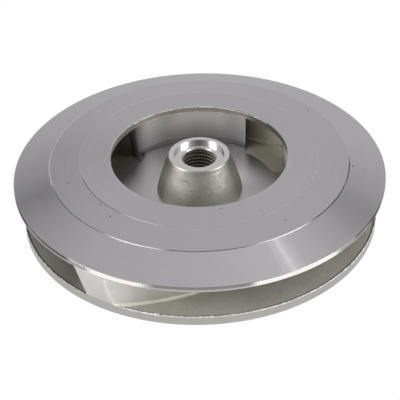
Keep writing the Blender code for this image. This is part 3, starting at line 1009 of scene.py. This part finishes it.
def cut_passages(piece):
    """Take one core after another out of the blank."""
    cores = [passage_core(number) for number in range(VANE_COUNT)]
    cores += [nose_cutter(number) for number in range(VANE_COUNT)]
    for core in cores:
        cut = piece.modifiers.new(core.name, 'BOOLEAN')
        cut.operation = 'DIFFERENCE'
        cut.solver = 'EXACT'
        cut.material_mode = 'INDEX'
        cut.object = core
    apply_modifiers(piece)
    for core in cores:
        bpy.data.objects.remove(core, do_unlink=True)


def crease_round(mesh, finish):
    """Keep the shading of one finish apart from its neighbours."""
    own = finish_names.index(finish)
    work = bmesh.new()
    work.from_mesh(mesh)
    for edge in work.edges:
        kinds = {face.material_index == own for face in edge.link_faces}
        if len(kinds) == 2:
            edge.smooth = False
    work.to_mesh(mesh)
    work.free()


cut_passages(casting)
smooth(casting.data)
crease_round(casting.data, "pocket_floor")
hand_over(casting)
print("casting:", len(casting.data.polygons), "faces after the cores are out")

# %% [markdown]
# ## The hub
#
# The hub is a tapered boss with a turned ring on top, a counterbore and the mouth of the thread.
# Its side was never machined, and it is the surface the eye rests on, so its lumps and pits are
# real: the side is a fine grid whose points move in and out. A Displace modifier could do that,
# but in Python the pits can be put where they are wanted. A value stored on the points paints
# shade inside each pit.

# %% Hub
HUB_TOP_RADIUS, HUB_FOOT_RADIUS = 0.0150, 0.0209
HUB_BULGE, HUB_SINK, HUB_EDGE = 0.0005, 0.0003, 0.0004
COUNTERBORE_RADIUS, COUNTERBORE_DEPTH, COUNTERBORE_EDGE = 0.0122, 0.0020, 0.00015
THREAD_MOUTH_RADIUS, THREAD_LIP = 0.0085, 0.0006
HUB_STEPS, HUB_ROWS = 320, 72
HUB_CALM, HUB_FADE = 0.0003, 0.001
HUB_LUMPS = [
    # wavelength, depth
    (0.0060, 0.00010), (0.0018, 0.00004),
]
PIT_DARKNESS = 0.42
HUB_PITS = [
    # azimuth in degrees, height, radius, depth
    (243.7, 0.0288, 0.00045, 0.00010), (247.0, 0.0290, 0.00040, 0.00008), (249.5, 0.0286, 0.00045, 0.00010),
    (252.0, 0.0276, 0.00040, 0.00008), (254.0, 0.0270, 0.00040, 0.00010), (256.4, 0.0251, 0.00045, 0.00009),
    (251.0, 0.0244, 0.00040, 0.00007), (249.5, 0.0228, 0.00055, 0.00008), (258.5, 0.0236, 0.00040, 0.00007),
    (288.0, 0.0232, 0.00045, 0.00010), (284.0, 0.0226, 0.00040, 0.00007), (310.4, 0.0306, 0.00035, 0.00008),
]


def hub_profile():
    """Closed outline of the hub; its side is divided finely."""
    shoulder_z = height - HUB_EDGE
    side = []
    for row in range(HUB_ROWS + 1):
        share = row / HUB_ROWS
        taper = HUB_FOOT_RADIUS + (HUB_TOP_RADIUS - HUB_FOOT_RADIUS) * share
        z = POCKET_FLOOR_Z + (shoulder_z - POCKET_FLOOR_Z) * share
        side.append((taper + 4.0 * HUB_BULGE * share * (1.0 - share), z))
    counterbore_z = height - COUNTERBORE_DEPTH
    lip_z = counterbore_z - THREAD_LIP
    under_z = POCKET_FLOOR_Z - HUB_SINK
    inside = [
        (COUNTERBORE_RADIUS + COUNTERBORE_EDGE, height), (COUNTERBORE_RADIUS, height - COUNTERBORE_EDGE),
        (COUNTERBORE_RADIUS, counterbore_z),
    ]
    bore = [
        (THREAD_MOUTH_RADIUS, counterbore_z), (THREAD_MINOR_RADIUS, lip_z),
        (THREAD_MAJOR_RADIUS, lip_z - THREAD_LIP), (THREAD_MAJOR_RADIUS, under_z),
    ]
    return join_runs(
        (side, "cast_hub"), ([(HUB_TOP_RADIUS - HUB_EDGE, height)], "turned_ring"),
        (inside, "turned_counterbore"), (bore, "cut_thread"), ([(HUB_FOOT_RADIUS, under_z)], "cast_hub"),
    )


def roughen_hub(mesh):
    """Move the points of the side in and out: lumps everywhere, pits where they are listed."""
    lowest, highest = POCKET_FLOOR_Z + HUB_CALM, height - HUB_EDGE - HUB_CALM
    dark = mesh.attributes.new("pit_shade", 'FLOAT', 'POINT')
    for vertex in mesh.vertices:
        x, y, z = vertex.co
        radius = hypot(x, y)
        if radius < HUB_TOP_RADIUS - HUB_EDGE / 2 or not lowest < z < highest:
            continue
        fade = min(1.0, (z - lowest) / HUB_FADE, (highest - z) / HUB_FADE)
        move = 0.0
        for wavelength, depth in HUB_LUMPS:
            move += noise.noise(vertex.co / wavelength) * depth
        for azimuth, level, size, depth in HUB_PITS:
            around = radians(azimuth)
            centre = Vector((radius * cos(around), radius * sin(around), level))
            hollow = exp(-((vertex.co - centre).length / size) ** 4)
            move -= depth * hollow
            # the stored value paints shade inside the pit
            dark.data[vertex.index].value = max(dark.data[vertex.index].value, PIT_DARKNESS * hollow)
        scale = 1.0 + fade * move / radius
        vertex.co = (x * scale, y * scale, z)


hub = turn_profile("hub", hub_profile(), HUB_STEPS)
roughen_hub(hub.data)
smooth(hub.data)
hand_over(hub)
print("hub:", len(hub.data.polygons), "faces,", len(HUB_PITS), "pits")

# %% [markdown]
# ## The thread, as geometry nodes
#
# A screw thread is one shape that follows one path: a ridge with sloping flanks that climbs by
# the pitch in each turn. The tree bends a straight line into a helix with a few Math nodes, keeps
# its up direction fixed so the ridge doesn't roll, and lets Curve to Mesh sweep a trapezoid along
# it. Turns, pitch and radii are inputs, so the same tree cuts any thread.

# %% Geometry tree helpers


def new_tree(name, example):
    """A geometry tree with an input for each value of an example: tree, graph and inputs."""
    tree = bpy.data.node_groups.new(name, "GeometryNodeTree")
    kinds = {float: "NodeSocketFloat", int: "NodeSocketInt"}
    for label, value in example.items():
        kind = kinds.get(type(value), "NodeSocketMaterial")
        tree.interface.new_socket(label, in_out='INPUT', socket_type=kind)
    tree.interface.new_socket("Mesh", in_out='OUTPUT', socket_type="NodeSocketGeometry")
    graph = Graph(tree)
    entry = tree.nodes.new("NodeGroupInput")
    return tree, graph, {label: Signal(graph, entry.outputs[label]) for label in example}


def close_tree(graph, geometry, material):
    """End a tree in Realize Instances and Set Material."""
    real = graph.add("GeometryNodeRealizeInstances", {"Geometry": geometry})
    dressed = graph.add("GeometryNodeSetMaterial", {"Geometry": real, "Material": material})
    graph.add("NodeGroupOutput", {"Mesh": dressed})


def grow(name, tree, values):
    """Run a tree with the given inputs and keep the result as a plain mesh."""
    piece = new_piece(name, bpy.data.meshes.new(name))
    growth = piece.modifiers.new(name, 'NODES')
    growth.node_group = tree
    for item in tree.interface.items_tree:
        if item.item_type == 'SOCKET' and item.in_out == 'INPUT':
            growth[item.identifier] = values[item.name]
    piece.update_tag()
    apply_modifiers(piece)
    return piece


def clean(piece):
    """Merge doubles and turn every face outwards."""
    work = bmesh.new()
    work.from_mesh(piece.data)
    bmesh.ops.remove_doubles(work, verts=work.verts, dist=1e-7)
    bmesh.ops.recalc_face_normals(work, faces=work.faces)
    work.to_mesh(piece.data)
    work.free()


# %% Thread
THREAD_PITCH = 0.0020
THREAD_SINK, THREAD_FADE_LEAST = 0.0001, 0.1
THREAD_STEPS_PER_TURN, THREAD_FREE_TURNS = 72, 0.35
THREAD_TURNS = (height - COUNTERBORE_DEPTH - THREAD_LIP - THREAD_CHAMFER) / THREAD_PITCH - THREAD_FREE_TURNS
THREAD = {
    "Bore Radius": THREAD_MAJOR_RADIUS + THREAD_SINK,
    "Ridge Height": THREAD_MAJOR_RADIUS + THREAD_SINK - THREAD_MINOR_RADIUS,
    "Ridge Foot": 0.00178, "Ridge Crest": 0.00045, "Pitch": THREAD_PITCH, "Turns": THREAD_TURNS,
    "Start Height": THREAD_CHAMFER + THREAD_PITCH / 4, "Points": int(THREAD_TURNS * THREAD_STEPS_PER_TURN),
    "Fade": 0.25, "Material": finishes["cut_thread"],
}


def thread_tree():
    """A ridge swept along a helix on the inside of a bore."""
    tree, graph, given = new_tree("screw_thread", THREAD)
    line = graph.add("GeometryNodeCurvePrimitiveLine")
    line = graph.add("GeometryNodeResampleCurve", {"Curve": line, "Count": given["Points"]})
    along = graph.add("GeometryNodeSplineParameter", output="Factor")
    turns_done = along * given["Turns"]
    angle = turns_done * (2.0 * pi)
    middle = given["Bore Radius"] - given["Ridge Height"] * 0.5
    helix = graph.add("ShaderNodeCombineXYZ", {
        0: middle * angle.math('COSINE'), 1: middle * angle.math('SINE'),
        2: given["Start Height"] + turns_done * given["Pitch"],
    })
    path = graph.add("GeometryNodeSetPosition", {"Geometry": line, "Position": helix})
    path = graph.add("GeometryNodeSetCurveNormal", {"Curve": path}, mode='Z_UP')
    ridge = graph.add("GeometryNodeCurvePrimitiveQuadrilateral", {
        "Height": given["Ridge Height"], "Bottom Width": given["Ridge Foot"],
        "Top Width": given["Ridge Crest"], "Offset": 0.0,
    }, mode='TRAPEZOID')
    upright = {"Geometry": ridge, "Rotation": (0.0, 0.0, pi / 2)}
    ridge = graph.add("GeometryNodeTransform", upright)
    fade = given["Fade"] / given["Turns"]
    size = (along / fade).clamp() * ((1.0 - along) / fade).clamp()
    size = size * (1.0 - THREAD_FADE_LEAST) + THREAD_FADE_LEAST
    swept = graph.add("GeometryNodeCurveToMesh", {
        "Curve": path, "Profile Curve": ridge, "Scale": size, "Fill Caps": True,
    })
    close_tree(graph, swept, given["Material"])
    return tree


thread = grow("hub_thread", thread_tree(), THREAD)
clean(thread)
smooth(thread.data)
hand_over(thread)
print("thread:", round(THREAD_TURNS, 1), "turns,", len(thread.data.polygons), "faces")

# %% [markdown]
# ## Where the burrs are
#
# Each run of burrs is a row: the three openings along the disc edge, the corners of the three
# vane tips, and the upper and lower edge of the eye. The runs could be placed by hand, but rows
# keep them on their edges if a radius changes.

# %% Burr runs
DISC_ARC = (BACK_RADIUS - 0.00012, FLOOR_RIM_Z + 0.0001)
TIP_ARC = (RIM_CHAMFER_RADIUS - 0.00045, RIM_CHAMFER_Z - 0.0007)
EYE_EDGE_ARC = (EYE_RADIUS - 0.00010, height - 0.00042)
EYE_LIP_ARC = (EYE_RADIUS + 0.00006, EYE_LIP_Z)
LONG_BURR, SHORT_BURR = (0.0012, 0.00044), (0.0011, 0.00034)
BURR_RUNS = {
    # radius and height, start and sweep in degrees, points, length and thickness, share of the points
    # that carry a sliver, scatter, seed, radius of the ridge between them
    "disc_edge_burrs_1": (DISC_ARC, 4.0, 107.0, 420, LONG_BURR, 0.46, 0.00016, 3, 0.00018),
    "disc_edge_burrs_2": (DISC_ARC, 124.0, 107.0, 420, LONG_BURR, 0.38, 0.00016, 4, 0.00012),
    "disc_edge_burrs_3": (DISC_ARC, 244.0, 107.0, 420, LONG_BURR, 0.52, 0.00016, 5, 0.00036),
    "vane_tip_burrs_1": (TIP_ARC, 109.6, 6.0, 26, SHORT_BURR, 0.60, 0.00038, 21, 0.00003),
    "vane_tip_burrs_2": (TIP_ARC, 229.6, 6.0, 26, SHORT_BURR, 0.60, 0.00038, 22, 0.00003),
    "vane_tip_burrs_3": (TIP_ARC, 349.6, 6.0, 26, SHORT_BURR, 0.60, 0.00038, 23, 0.00003),
    "eye_edge_burrs": (EYE_EDGE_ARC, 38.0, 100.0, 150, SHORT_BURR, 0.49, 0.00014, 11, 0.00012),
    "eye_lip_burrs": (EYE_LIP_ARC, 50.0, 78.0, 110, SHORT_BURR, 0.42, 0.00018, 17, 0.00010),
}


def burr_values(arc, start, sweep, count, size, share, scatter, seed, ridge):
    """The inputs of one run of burrs."""
    return {
        "Arc Radius": arc[0], "Arc Height": arc[1], "Start Angle": radians(start),
        "Sweep": radians(sweep), "Count": count, "Length": size[0], "Thickness": size[1],
        "Share": share, "Scatter": scatter, "Seed": seed, "Ridge": ridge,
        "Material": finishes["burr_bright"],
    }


print(len(BURR_RUNS), "runs of burrs")

# %% [markdown]
# ## Burrs, as instances
#
# Where the tool ran out over the edge of a passage it left a torn, bright line. A burr is the
# same sliver again and again, never quite the same: a case for instances. The tree walks along an
# arc, puts a pointed sliver on the points that a noise picks, turns and scales each one at random
# from a fixed seed, and adds an uneven ridge between them.

# %% Burrs
PATCH_SCALE, RIDGE_SCALE = 260.0, 950.0
RIDGE_GAIN, RIDGE_OFFSET, RIDGE_LEAST = 4.2, 1.3, 0.12
SLIVER_TILT, SLIVER_ROLL = 0.5, 3.1
SLIVER_SHORTEST, SLIVER_LONGEST, SLIVER_FLATNESS = 0.45, 1.5, 0.8


def burr_tree(example):
    """Slivers along an arc round the axis, on an uneven ridge."""
    tree, graph, given = new_tree("edge_burrs", example)
    arc = graph.add("GeometryNodeCurveArc", {
        "Resolution": given["Count"], "Radius": given["Arc Radius"],
        "Start Angle": given["Start Angle"], "Sweep Angle": given["Sweep"],
    })
    place = graph.add("ShaderNodeCombineXYZ", {2: given["Arc Height"]})
    arc = graph.add("GeometryNodeTransform", {"Geometry": arc, "Translation": place})
    walk = graph.add("GeometryNodeCurveToPoints", {"Curve": arc}, mode='EVALUATED')
    facing = Signal(graph, walk.socket.node.outputs["Rotation"])
    patches = graph.add("ShaderNodeTexNoise", {"Scale": PATCH_SCALE, "Detail": 2.0})
    chosen = graph.add("FunctionNodeCompare", {0: patches, 1: given["Share"]}, operation='LESS_THAN')

    def draw(low, high):
        """A random vector for each point."""
        values = {0: low, 1: high, "Seed": given["Seed"]}
        return graph.add("FunctionNodeRandomValue", values, data_type='FLOAT_VECTOR')

    shift = graph.scaled(draw((-1.0, -1.0, -1.0), (1.0, 1.0, 1.0)), given["Scatter"])
    walk = graph.add("GeometryNodeSetPosition", {"Geometry": walk, "Offset": shift})
    spin = draw((-SLIVER_TILT, -SLIVER_TILT, -SLIVER_ROLL), (SLIVER_TILT, SLIVER_TILT, SLIVER_ROLL))
    turn = graph.add("FunctionNodeRotateRotation", {0: facing, 1: spin}, rotation_space='LOCAL')
    stretch = graph.add("FunctionNodeRandomValue", {
        2: SLIVER_SHORTEST, 3: SLIVER_LONGEST, "Seed": given["Seed"],
    }, data_type='FLOAT')
    sliver = graph.add("GeometryNodeMeshIcoSphere", {"Radius": 0.5, "Subdivisions": 1})
    body = graph.add("ShaderNodeCombineXYZ", {
        0: given["Thickness"], 1: given["Thickness"] * SLIVER_FLATNESS, 2: given["Length"],
    })
    sliver = graph.add("GeometryNodeTransform", {"Geometry": sliver, "Scale": body})
    spread = graph.add("GeometryNodeInstanceOnPoints", {
        "Points": walk, "Selection": chosen, "Instance": sliver, "Rotation": turn, "Scale": stretch,
    })
    unevenness = graph.add("ShaderNodeTexNoise", {"Scale": RIDGE_SCALE, "Detail": 2.0})
    swelling = (unevenness * RIDGE_GAIN - RIDGE_OFFSET).math('MAXIMUM', RIDGE_LEAST)
    bead = graph.add("GeometryNodeCurvePrimitiveCircle", {"Resolution": 6, "Radius": given["Ridge"]})
    ridge = graph.add("GeometryNodeCurveToMesh", {
        "Curve": arc, "Profile Curve": bead, "Scale": swelling, "Fill Caps": True,
    })
    close_tree(graph, graph.join(spread, ridge), given["Material"])
    return tree


burrs = burr_tree(burr_values(*BURR_RUNS["disc_edge_burrs_1"]))
for name, run in BURR_RUNS.items():
    piece = grow(name, burrs, burr_values(*run))
    clean(piece)
    hand_over(piece)
    print(name, "has", len(piece.data.polygons), "faces")
